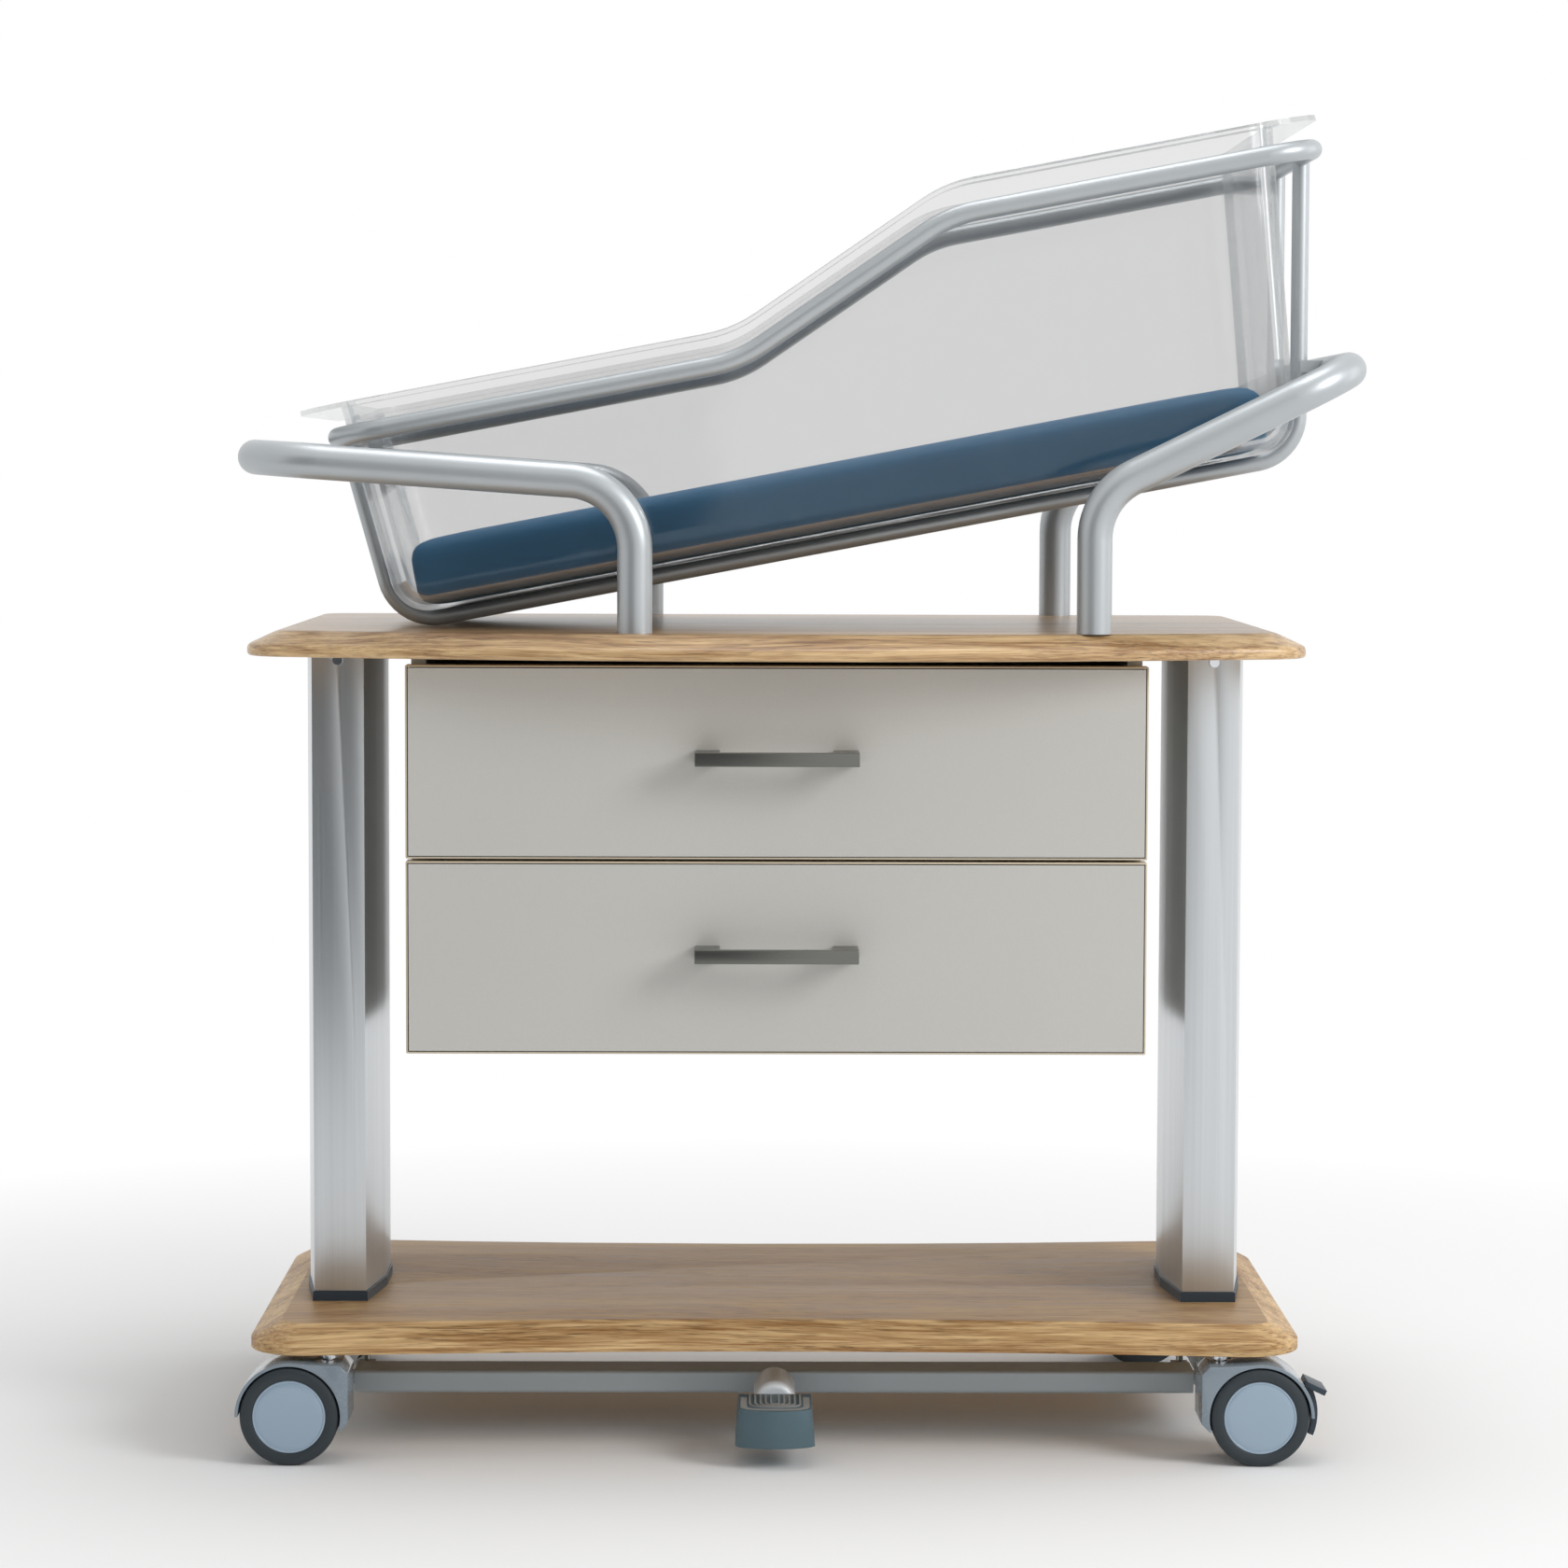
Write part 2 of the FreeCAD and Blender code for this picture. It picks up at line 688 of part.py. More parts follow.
def make_handles():
    left = pipe(handle_path(left_leg_x, left_leg_h, left_end_x, left_slope), handle_r, handle_wall)
    right = pipe(handle_path(right_leg_x, right_leg_h, right_end_x, right_slope), handle_r, handle_wall)
    add("handle_left", left)
    add("handle_right", right)
    plugs = []
    for x in (left_leg_x, right_leg_x):
        for side in (-1, 1):
            y = side * handle_y
            plugs.append(rod(handle_r - handle_wall, (x, y, table_z), (x, y, table_z + handle_r)))
    add("handle_plugs", *plugs)


# ---------------------------------------------------------------- drawers
front_top = top_z - front_top_gap
lower_top = front_top - front_h - front_gap
carcass_low = lower_top - front_h + front_gap
front_face = carcass_front - gap - front_t
rail_x = carcass_half - carcass_t
box_half = rail_x - rail_plate - gap - runner_bar_t


def rail_middle(top):
    return top - front_h + box_lift + box_h / 2


def make_carcass():
    sides = []
    for side in (-1, 1):
        x0 = side * carcass_half
        x1 = side * (carcass_half - carcass_t)
        sides.append(box(min(x0, x1), max(x0, x1), carcass_front, carcass_rear, carcass_low, top_z))
    rear = box(-carcass_half, carcass_half, carcass_rear - carcass_t, carcass_rear, carcass_low, top_z)
    floor_z = carcass_low + carcass_floor
    floor = box(-carcass_half, carcass_half, carcass_front, carcass_rear, carcass_low, floor_z)
    add("drawer_carcass", fuse(sides + [rear, floor]))
    rails = []
    for top in (front_top, lower_top):
        z = rail_middle(top)
        for side in (-1, 1):
            outer = side * rail_x
            plate_x = outer - side * rail_plate
            ledge_x = plate_x - side * runner_bar_t
            y0 = carcass_front
            y1 = carcass_rear - carcass_t
            low = z - rail_h / 2
            plate = box(min(outer, plate_x), max(outer, plate_x), y0, y1, low, low + rail_h)
            ledge = box(min(outer, ledge_x), max(outer, ledge_x), y0, y1, low, low + rail_plate)
            rails.append(plate.fuse(ledge).removeSplitter())
    add("fixed_drawer_rails", *rails)


def make_drawer(name, top):
    bottom = top - front_h
    half = front_w / 2
    rear_face = front_face + front_t
    add(name + "_front", box(-half, half, front_face, rear_face, bottom, top))
    y1 = rear_face + box_l
    z0 = bottom + box_lift
    outer = box(-box_half, box_half, rear_face, y1, z0, z0 + box_h)
    inner = box(-box_half + box_wall, box_half - box_wall, rear_face + box_wall, y1 - box_wall,
                z0 + box_floor, z0 + box_h)
    add(name + "_box", outer.cut(inner))
    middle = top - pull_below
    reach = front_face - pull_reach
    bar = box(-pull_w / 2, pull_w / 2, reach, reach + pull_t, middle - pull_h / 2, middle + pull_h / 2)
    legs = []
    for side in (-1, 1):
        outer_x = side * pull_w / 2
        inner_x = side * (pull_w / 2 - pull_leg)
        legs.append(box(min(outer_x, inner_x), max(outer_x, inner_x), reach, front_face,
                        middle - pull_h / 2, middle + pull_h / 2))
    add(name + "_pull", fuse([bar] + legs))
    z = rail_middle(top) - rail_h / 2 + rail_plate + gap
    rails = []
    for side in (-1, 1):
        x0 = side * box_half
        x1 = side * (box_half + runner_bar_t)
        rails.append(box(min(x0, x1), max(x0, x1), rear_face, y1, z, z + runner_bar_h))
    add(name + "_rails", *rails)


# ---------------------------------------------------------------- basket
def foot_z():
    """Height of the foot crossing that sets the foot bends down on the table top."""
    half = math.radians(90 + foot_flare) / 2
    u = runner_bend / math.tan(half)
    up = u * math.sin(math.radians(tilt)) + runner_bend * math.cos(math.radians(tilt))
    return table_z + gap + runner_bend + runner_r - up


def place_basket(shape):
    """Tilt a shape that was laid out level and set it on the trolley."""
    shape = shape.rotated(V(0, 0, 0), ALONG_Y, -tilt)
    return shape.translated(V(foot_x, 0, foot_z()))


foot_u = -ring_foot_h * math.tan(math.radians(foot_flare))
head_u = runner_l + ring_head_h * math.tan(math.radians(head_flare))


def ring_edges():
    y = ring_y
    points = [(foot_u, -y, ring_foot_h), (ring_low_u, -y, ring_foot_h), (ring_high_u, -y, ring_head_h),
              (head_u, -y, ring_head_h), (head_u, y, ring_head_h), (ring_high_u, y, ring_head_h),
              (ring_low_u, y, ring_foot_h), (foot_u, y, ring_foot_h)]
    radii = [ring_corner, ring_bend, ring_bend, ring_corner] * 2
    return rounded_path(points, radii, closed=True)


def make_basket_frame():
    edges = ring_edges()
    solid_ring = swept(edges, ring_r)
    add("basket_ring", place_basket(solid_ring.cut(swept(edges, ring_r - basket_wall))))
    for name, side in (("near", -1), ("far", 1)):
        y = side * runner_y
        points = [(foot_u, y, ring_foot_h), (0, y, 0), (runner_l, y, 0), (head_u, y, ring_head_h)]
        path = rounded_path(points, [0, runner_bend, runner_bend, 0])
        add("basket_runner_" + name, place_basket(pipe(path, runner_r, basket_wall).cut(solid_ring)))


def make_tilt_brackets():
    """Rests on the head handle's crossbar, one at each head upright."""
    bar_end_z = handle_end_z(right_leg_x, right_leg_h, right_end_x, right_slope)
    low = bar_end_z + rest_up - rest_h / 2
    high = low + rest_h
    blocks = []
    for side in (-1, 1):
        y = side * runner_y
        block = box(upright_x, right_end_x, y - rest_w / 2, y + rest_w / 2, low, high)
        block = block.cut(rod(runner_r + rest_play, (upright_x, y, low), (upright_x, y, high)))
        crossbar = rod(handle_r, (right_end_x, y - rest_w, bar_end_z), (right_end_x, y + rest_w, bar_end_z))
        blocks.append(block.cut(crossbar))
    add("tilt_brackets", *blocks)


# ---------------------------------------------------------------- basin and mattress
def tub_points(offset, floor, half_y):
    """Side view of the tub; offset is from the uprights' centre lines."""
    foot_tan = math.tan(math.radians(foot_flare))
    head_tan = math.tan(math.radians(basin_head_flare))
    foot_in = offset / math.cos(math.radians(foot_flare))
    head_in = offset / math.cos(math.radians(basin_head_flare))
    low = ring_foot_h + rim_up
    high = ring_head_h + rim_up
    foot_floor = (foot_in - floor * foot_tan, -half_y, floor)
    head_floor = (runner_l - head_in + floor * head_tan, -half_y, floor)
    foot_top = (foot_in - low * foot_tan, -half_y, low)
    head_top = (runner_l - head_in + high * head_tan, -half_y, high)
    rim = [(ring_high_u, -half_y, high), (ring_low_u, -half_y, low)]
    return [foot_top, foot_floor, head_floor, head_top], rim


def tub_solid(offset, floor, half_y, corner, edge):
    """Solid block that fills the basket up to the rim."""
    points, rim_points = tub_points(offset, floor, half_y)
    path = rounded_path(points, [0, corner, corner, 0])
    rim = rounded_path([points[3]] + rim_points + [points[0]], [0, ring_bend, ring_bend, 0])
    face = Part.Face(Part.Wire(path + rim))
    solid = face.extrude(V(0, 2 * half_y, 0))
    round_edges = []
    for e in solid.Edges:
        middle = e.CenterOfMass
        on_side = abs(abs(middle.y) - half_y) < 1e-4
        below = middle.z < ring_foot_h * 0.4
        end_wall = e.BoundBox.ZLength > ring_foot_h * 0.6
        if on_side and (below or end_wall):
            round_edges.append(e)
    return solid.makeFillet(edge, round_edges)


def rim_plate():
    """Bent flange with rounded corners, following the ring above it."""
    foot_edge = foot_u - rim_foot
    head_edge = head_u + rim_head
    low = ring_foot_h + rim_up
    high = ring_head_h + rim_up
    y = rim_y
    upper = [(foot_edge, -y, low), (ring_low_u, -y, low), (ring_high_u, -y, high), (head_edge, -y, high)]
    lower = [(p[0], -y, p[2] - rim_t) for p in reversed(upper)]
    top_path = rounded_path(upper, [0, ring_bend, ring_bend, 0])
    low_path = rounded_path(lower, [0, ring_bend, ring_bend, 0])
    head_end = Part.LineSegment(V(*upper[3]), V(*lower[0])).toShape()
    foot_end = Part.LineSegment(V(*lower[3]), V(*upper[0])).toShape()
    side = Part.Face(Part.Wire(top_path + [head_end] + low_path + [foot_end]))
    plate = side.extrude(V(0, 2 * y, 0))
    plan = [V(foot_edge, -y, 0), V(head_edge, -y, 0), V(head_edge, y, 0), V(foot_edge, y, 0)]
    cutter = Part.Face(Part.makePolygon(plan + plan[:1])).extrude(UP * (high + rim_t))
    cutter = cutter.makeFillet(rim_corner, [e for e in cutter.Edges if abs(e.tangentAt(0).z) > 0.9])
    return plate.common(cutter)


basin_floor = runner_r + gap


def make_basin():
    corner = runner_bend - basin_off
    outer = tub_solid(basin_off, basin_floor, basin_y, corner, basin_edge)
    inner_floor = basin_floor + basin_wall
    inner = tub_solid(basin_off + basin_wall, inner_floor, basin_y - basin_wall, corner - basin_wall,
                      basin_edge - basin_wall)
    whole = outer.fuse(rim_plate()).cut(inner)
    add("basin", place_basket(whole))


def make_mattress():
    z0 = basin_floor + basin_wall + gap
    block = box(mattress_start, mattress_start + mattress_l, -mattress_y, mattress_y, z0, z0 + mattress_t)
    block = block.makeFillet(mattress_edge, block.Edges)
    add("mattress", place_basket(block))


# ---------------------------------------------------------------- build
make_base_board()
make_table_top()
make_columns()
make_gas_springs()
make_release_bar()
make_pedal()
make_stem_set()
make_castors()
make_handles()
make_carcass()
make_drawer("upper_drawer", front_top)
make_drawer("lower_drawer", lower_top)
make_basket_frame()
make_tilt_brackets()
make_basin()
make_mattress()

extent = FreeCAD.BoundBox()
for shape in nodes.values():
    extent.add(shape.optimalBoundingBox(False, False))
shift = V(-extent.Center.x, -extent.Center.y, -extent.ZMin)
for name, shape in nodes.items():
    shape.translate(shift)
    shape.exportStep("parts/" + name + ".step")
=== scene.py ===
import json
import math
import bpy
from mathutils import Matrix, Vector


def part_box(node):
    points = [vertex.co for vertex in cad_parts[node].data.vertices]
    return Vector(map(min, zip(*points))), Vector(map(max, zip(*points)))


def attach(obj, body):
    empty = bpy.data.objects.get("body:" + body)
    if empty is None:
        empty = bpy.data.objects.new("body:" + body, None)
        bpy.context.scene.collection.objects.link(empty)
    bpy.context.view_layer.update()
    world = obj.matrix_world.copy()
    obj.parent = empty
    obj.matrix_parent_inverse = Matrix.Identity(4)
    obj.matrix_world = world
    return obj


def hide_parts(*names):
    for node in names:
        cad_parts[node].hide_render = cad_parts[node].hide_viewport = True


bl_info = {
    "name": "Hospital bassinet",
    "version": (1, 0, 0),
    "blender": (4, 5, 0),
    "location": "View3D > Sidebar > Bassinet",
    "description": "Dresses a tilting newborn's bassinet on its height-adjustable trolley",
    "category": "Object",
}

import bmesh
import bpy
from mathutils import Matrix, Vector

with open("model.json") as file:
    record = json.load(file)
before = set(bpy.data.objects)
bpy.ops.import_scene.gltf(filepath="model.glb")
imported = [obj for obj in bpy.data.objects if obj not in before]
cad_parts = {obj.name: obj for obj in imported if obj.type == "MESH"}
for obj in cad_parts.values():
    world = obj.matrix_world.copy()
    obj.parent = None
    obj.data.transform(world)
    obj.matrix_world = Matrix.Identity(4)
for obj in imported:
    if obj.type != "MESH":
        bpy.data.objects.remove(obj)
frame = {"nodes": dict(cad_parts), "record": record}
NODES = frame["nodes"]
BODY_OF = {n: b for b, names in frame["record"]["behaviour"]["bodies"].items() for n in names}
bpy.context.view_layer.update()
MM = 0.001
CASTORS = ("front_left", "front_right", "rear_left", "rear_right")
BRAKE_EDGE = 1.2 * MM
PAD_EDGE = 2.4 * MM
TYRE_DEPTH = 10.5 * MM
TYRE_SHOULDER = 2.6 * MM
COVER_MESH = 6 * MM
COVER_STEPS = 20
WORLD_GLOW = 0.55


# ---------------------------------------------------------------- colours
def linear(colour):
    """sRGB red, green and blue from 0 to 255 as the linear colour that a shader takes."""
    shares = [c / 255 for c in colour]
    return tuple(s / 12.92 if s <= 0.04045 else ((s + 0.055) / 1.055) ** 2.4 for s in shares)


def colour_property(name, description, colour):
    return bpy.props.FloatVectorProperty(
        name=name, description=description, subtype="COLOR", size=3, min=0, max=1, default=linear(colour)
    )


def length_property(name, description, millimetres):
    return bpy.props.FloatProperty(
        name=name, description=description, subtype="DISTANCE", unit="LENGTH", min=0, default=millimetres * MM
    )


class BassinetColours(bpy.types.PropertyGroup):
    oak_light: colour_property("Oak, light", "Light bands of the oak boards", (226, 192, 142))
    oak_dark: colour_property("Oak, dark", "Dark bands of the oak boards", (160, 119, 74))
    oak_pores: colour_property("Oak pores", "Short dark pores along the grain", (84, 56, 32))
    # Painted shade and reflection: level board tops are greyed towards this colour, standing in for how they
    # look lit at a grazing view.
    oak_top_shade: colour_property("Oak, worn", "Greyed level tops of the boards", (134, 100, 66))
    drawer: colour_property("Drawer laminate", "Faces of the drawer fronts", (199, 198, 193))
    drawer_band: colour_property("Drawer edge band", "Thin band round each front", (208, 196, 174))
    silver: colour_property("Silver tube", "Satin silver paint of the tubes", (184, 189, 192))
    column: colour_property("Column", "Anodised aluminium of the columns", (214, 218, 221))
    grey: colour_property("Grey paint", "Release bar and side tubes", (177, 187, 193))
    hood: colour_property("Castor hood", "Glossy plastic of the castor hoods", (128, 141, 152))
    disc: colour_property("Wheel disc", "Discs of the castor wheels", (152, 172, 190))
    tyre: colour_property("Tyre", "Rubber of the castor wheels", (41, 50, 56))
    mattress: colour_property("Mattress", "Wipe-clean mattress cover", (67, 115, 150))
    pad: colour_property("Pedal pad", "Rubber of the pedal pad", (78, 101, 110))
    pull: colour_property("Bar pull", "Satin metal of the drawer pulls", (118, 119, 114))
    lever: colour_property("Pedal lever", "Satin metal of the pedal lever", (235, 241, 245))
    acrylic: colour_property("Acrylic", "Tint of the clear basin", (243, 243, 243))


class BassinetSizes(bpy.types.PropertyGroup):
    board_edge: length_property("Board edge", "Rounding of the boards' moulded edges", 3.0)
    metal_edge: length_property("Metal edge", "Rounding of sharp metal edges", 0.5)
    hood_edge: length_property("Hood edge", "Rounding of the castor hoods' edges", 2.0)
    front_edge: length_property("Front edge", "Rounding of the drawer fronts' edge bands", 1.2)
    band: length_property("Edge band", "Width of the band round a drawer front", 2.0)
    groove: length_property("Groove", "Width and depth of the groove inside the band", 0.25)
    disc_dome: length_property("Disc dome", "How far a wheel disc bulges at its middle", 0.6)
    mattress_crown: length_property("Mattress crown", "How far the mattress cover may swell", 2.6)
    lens: bpy.props.FloatProperty(
        name="Focal length", description="In mm, for a sensor 36 mm wide", default=98.571, min=1
    )


def colours():
    return bpy.context.scene.bassinet_colours


def sizes():
    return bpy.context.scene.bassinet_sizes


# ---------------------------------------------------------------- shader nodes
class Value:
    """A node's output that can be used in sums."""

    def __init__(self, shader, socket):
        self.shader = shader
        self.socket = socket

    def maths(self, operation, other):
        return self.shader.node("ShaderNodeMath", {"operation": operation}, {0: self, 1: other})

    def __add__(self, other):
        return self.maths("ADD", other)

    def __sub__(self, other):
        return self.maths("SUBTRACT", other)

    def __mul__(self, other):
        return self.maths("MULTIPLY", other)

    def __pow__(self, other):
        return self.maths("POWER", other)

    def least(self, other):
        return self.maths("MINIMUM", other)

    def most(self, other):
        return self.maths("MAXIMUM", other)


class Shader:
    """One material and the nodes in it."""

    def __init__(self, name):
        self.material = bpy.data.materials.new(name)
        self.material.use_nodes = True
        self.tree = self.material.node_tree
        self.tree.nodes.clear()
        self.where = self.node("ShaderNodeTexCoord", out="Object")

    def node(self, kind, settings=None, feeds=None, out=0):
        """Adds a node, sets it, feeds its sockets and gives back one of its outputs."""
        made = self.tree.nodes.new(kind)
        for key, setting in (settings or {}).items():
            setattr(made, key, setting)
        for key, feed in (feeds or {}).items():
            if isinstance(feed, Value):
                self.tree.links.new(feed.socket, made.inputs[key])
            else:
                made.inputs[key].default_value = feed
        return Value(self, made.outputs[out])

    def axes(self):
        split = self.node("ShaderNodeSeparateXYZ", feeds={0: self.where})
        outputs = split.socket.node.outputs
        return [Value(self, outputs[i]) for i in range(3)]

    def facing_up(self):
        """How far the surface faces up, from -1 to 1."""
        outward = self.node("ShaderNodeTexCoord", out="Normal")
        split = self.node("ShaderNodeSeparateXYZ", feeds={0: outward})
        return Value(self, split.socket.node.outputs[2])

    def noise(self, stretch, detail, rough=0.5):
        """Noise on the object's own place, stretched per axis."""
        place = self.node("ShaderNodeMapping", feeds={"Vector": self.where, "Scale": stretch})
        return self.noise_at(place, 1.0, detail, rough)

    def noise_at(self, place, scale, detail, rough):
        feeds = {"Vector": place, "Scale": scale, "Detail": detail, "Roughness": rough}
        return self.node("ShaderNodeTexNoise", feeds=feeds)

    def span(self, feed, low, high, to_low=0.0, to_high=1.0):
        """Maps low to high onto to_low to to_high, held at both ends."""
        return self.node(
            "ShaderNodeMapRange", feeds={0: feed, 1: low, 2: high, 3: to_low, 4: to_high}
        )

    def mix(self, share, first, second):
        def full(colour):
            return colour if isinstance(colour, Value) else (*colour, 1)

        return self.node(
            "ShaderNodeMix", {"data_type": "RGBA"}, {0: share, 6: full(first), 7: full(second)}, out=2
        )

    def bump(self, height, distance, strength=1.0):
        return self.node(
            "ShaderNodeBump", feeds={"Height": height, "Distance": distance * MM, "Strength": strength}
        )

    def surface(self, **sockets):
        """Principled surface; names use underscores for spaces, and a colour has three numbers."""
        feeds = {}
        for key, feed in sockets.items():
            name = " ".join(word.capitalize() for word in key.split("_")).replace("Ior", "IOR")
            feeds[name] = feed if isinstance(feed, (Value, float, int)) else (*feed, 1)
        return self.node("ShaderNodeBsdfPrincipled", feeds=feeds)

    def finish(self, shown):
        self.tree.links.new(shown.socket, self.tree.nodes.new("ShaderNodeOutputMaterial").inputs[0])
        return self.material


def tinted(shader, colour, mottle, amount, shade=0.8):
    """The colour with a soft change of tone over the surface."""
    darker = tuple(c * shade for c in colour)
    return shader.mix(shader.span(mottle, 0.35, 0.65, 0.0, amount), colour, darker)


# ---------------------------------------------------------------- materials
def oak(name, shine, coat):
    """Light oak laid in thin leaves along X, so that its lines follow the moulded edges round the corners;
    painted shade greys its level tops.
    """
    c = colours()
    s = Shader(name)
    x, y, z = s.axes()
    sway = s.noise((1.6, 7, 7), 2.0)
    drift = (sway - 0.5) * 0.07
    leaves = s.node(
        "ShaderNodeCombineXYZ", feeds={0: x * 0.045, 1: y * 0.5 + drift, 2: z * 1.7 + drift * 0.5}
    )

    broad = s.noise_at(leaves, 34.0, 3.0, 0.5)
    fibre = s.noise_at(leaves, 230.0, 4.0, 0.62)
    pore = s.noise_at(leaves, 640.0, 2.0, 0.6)
    tone = s.span(broad * 0.4 + fibre * 0.6, 0.4, 0.6)
    plain = s.mix(tone, tuple(c.oak_dark), tuple(c.oak_light))
    pits = s.span(pore, 0.54, 0.64, 0.0, 0.75) * s.span(broad, 0.32, 0.62, 1.0, 0.3)
    colour = s.mix(pits, plain, tuple(c.oak_pores))
    # Painted shade and reflection: faces that point up are greyed towards the top colour, up to half.
    painted_top_shade = s.mix(s.span(s.facing_up(), 0.9, 1.0, 0.0, 0.5), colour, tuple(c.oak_top_shade))
    relief = fibre * 0.5 - pits
    return s.finish(
        s.surface(
            base_color=painted_top_shade,
            roughness=s.span(fibre, 0.3, 0.7, 0.34, 0.5),
            specular_ior_level=shine,
            normal=s.bump(relief, 0.2, 0.6),
            coat_weight=coat,
            coat_roughness=0.22,
        )
    )


def satin_metal(name, colour, metallic=0.85, rough=0.32, grain=(900, 900, 900), depth=0.02):
    """Metal or metallic paint with a fine texture and faint handling marks."""
    s = Shader(name)
    fine = s.noise(grain, 2.0)
    cloud = s.noise((9, 9, 9), 3.0)
    return s.finish(
        s.surface(
            base_color=tinted(s, colour, cloud, 0.5, 0.9),
            metallic=metallic,
            roughness=s.span(fine * 0.5 + cloud * 0.5, 0.3, 0.7, rough - 0.05, rough + 0.06),
            normal=s.bump(fine, depth, 0.5),
        )
    )


def drawn_aluminium():
    """Anodised aluminium with long draw lines up the column."""
    c = colours()
    s = Shader("column_finish")
    lines = s.noise((1400, 1400, 1.5), 3.0, 0.6)
    broad = s.noise((120, 120, 0.6), 2.0)
    cloud = s.noise((5, 5, 3), 2.0)
    mottle = lines * 0.45 + broad * 0.35 + cloud * 0.2
    return s.finish(
        s.surface(
            base_color=tinted(s, tuple(c.column), mottle, 0.8, 0.86),
            metallic=0.88,
            roughness=s.span(lines, 0.3, 0.7, 0.28, 0.38),
            normal=s.bump(lines, 0.015, 0.5),
        )
    )


def laminate(name, colour, speck=0.5, rough=0.5):
    """Fine-grained board laminate."""
    s = Shader(name)
    fine = s.noise((700, 700, 700), 2.0)
    cloud = s.noise((6, 6, 6), 2.0)
    return s.finish(
        s.surface(
            base_color=tinted(s, colour, fine * 0.6 + cloud * 0.4, speck, 0.93),
            roughness=s.span(fine, 0.3, 0.7, rough - 0.05, rough + 0.07),
            normal=s.bump(fine, 0.03, 0.35),
        )
    )


def moulded(name, colour, rough=0.3, coat=0.0, grain=0.03, shade=0.85):
    """Moulded plastic or rubber: a fine leathery grain and small changes of tone."""
    s = Shader(name)
    fine = s.noise((420, 420, 420), 3.0)
    cloud = s.noise((24, 24, 24), 3.0)
    return s.finish(
        s.surface(
            base_color=tinted(s, colour, cloud, 0.6, shade),
            roughness=s.span(fine * 0.6 + cloud * 0.4, 0.3, 0.7, rough - 0.06, rough + 0.08),
            normal=s.bump(fine, grain, 0.5),
            coat_weight=coat,
            coat_roughness=0.08,
        )
    )


def clear_acrylic():
    """Clear sheet: grazing faces turn milky and bright, square ones stay clear."""
    c = colours()
    s = Shader("clear_acrylic_finish")
    waves = s.noise((7, 5, 5), 2.0)
    scuffs = s.noise((60, 60, 60), 4.0, 0.7)
    normal = s.bump(waves, 4.0, 0.35)
    graze = s.node("ShaderNodeFresnel", feeds={"IOR": 1.45, "Normal": normal})
    haze = s.span(scuffs, 0.55, 0.75, 0.0, 0.03)
    share = (graze * 0.7 + haze * 0.4).least(1.0)
    through = s.node("ShaderNodeBsdfTransparent", feeds={0: (*c.acrylic, 1)})
    shine = s.surface(base_color=linear((244, 246, 247)), metallic=0.8, roughness=0.06, normal=normal)
    return s.finish(s.node("ShaderNodeMixShader", feeds={0: share, 1: through, 2: shine}))


def wipe_clean_cover():
    """Coated fabric of the mattress: a faint weave under a satin coat."""
    c = colours()
    s = Shader("mattress_cover_finish")
    weave = s.noise((900, 900, 900), 2.0)
    cloud = s.noise((7, 7, 7), 3.0)
    puckers = s.noise((14, 60, 60), 2.0)
    return s.finish(
        s.surface(
            base_color=tinted(s, tuple(c.mattress), cloud * 0.8 + weave * 0.2, 0.7, 0.8),
            roughness=s.span(weave, 0.3, 0.7, 0.46, 0.6),
            specular_ior_level=0.1,
            normal=s.bump(weave * 0.05 + puckers * 0.5, 0.6, 0.5),
        )
    )


def make_materials():
    c = colours()
    oak_board = oak("oak_board_finish", 0.18, 0.0)
    oak_table = oak("oak_table_finish", 0.5, 0.5)
    silver = satin_metal("silver_tube_finish", tuple(c.silver), 0.55, 0.38)
    column = drawn_aluminium()
    pull = satin_metal("pull_finish", tuple(c.pull), 0.9, 0.3, (12, 900, 900))
    chrome = satin_metal("bright_steel_finish", linear((220, 222, 225)), 1.0, 0.14)
    grey = satin_metal("grey_paint_finish", tuple(c.grey), 0.25, 0.42)
    lever = satin_metal("pedal_lever_finish", tuple(c.lever), 0.2, 0.5)
    return {
        "oak_board": oak_board,
        "oak_table": oak_table,
        "column_aluminium": column,
        "dark_plastic": moulded("dark_plastic_finish", linear((42, 56, 67)), 0.4),
        "satin_tube": silver,
        "bright_steel": chrome,
        "grey_paint": grey,
        "pedal_lever": lever,
        "drawer_board": laminate("drawer_board_finish", tuple(c.drawer)),
        "pull_aluminium": pull,
        "hood_plastic": moulded("castor_hood_finish", tuple(c.hood), 0.24, 0.5, 0.01, 0.92),
        "tyre_rubber": moulded("tyre_finish", tuple(c.tyre), 0.45, 0.0, 0.04),
        "pad_rubber": moulded("pad_rubber_finish", tuple(c.pad), 0.5, 0.0, 0.05),
        "clear_acrylic": clear_acrylic(),
        "mattress_cover": wipe_clean_cover(),
        "wheel_disc": moulded("wheel_disc_finish", tuple(c.disc), 0.2, 0.6, 0.004, 0.96),
        "edge_band": laminate("edge_band_finish", tuple(c.drawer_band), 0.3, 0.42),
        # Lighter grey of the pad's ridges; on the pad's flat margin it is painted highlight standing in for
        # the lit rounded front edge.
        "ridge_and_painted_highlight": moulded("ridge_and_painted_highlight_finish", linear((148, 148, 146)), 0.55),
    }


FINISHES = {}


def finish_of(slot):
    if not FINISHES:
        FINISHES.update(make_materials())
    return FINISHES[slot]


# ---------------------------------------------------------------- mesh helpers
def piece_from(mesh, name, body, slot, finish=None, smooth=35):
    """Turns a bmesh into a piece on its body, with its finish."""
    data = bpy.data.meshes.new(name)
    mesh.to_mesh(data)
    mesh.free()
    made = bpy.data.objects.new(name, data)
    bpy.context.scene.collection.objects.link(made)
    dress(made, finish or slot, smooth)
    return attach(made, body)


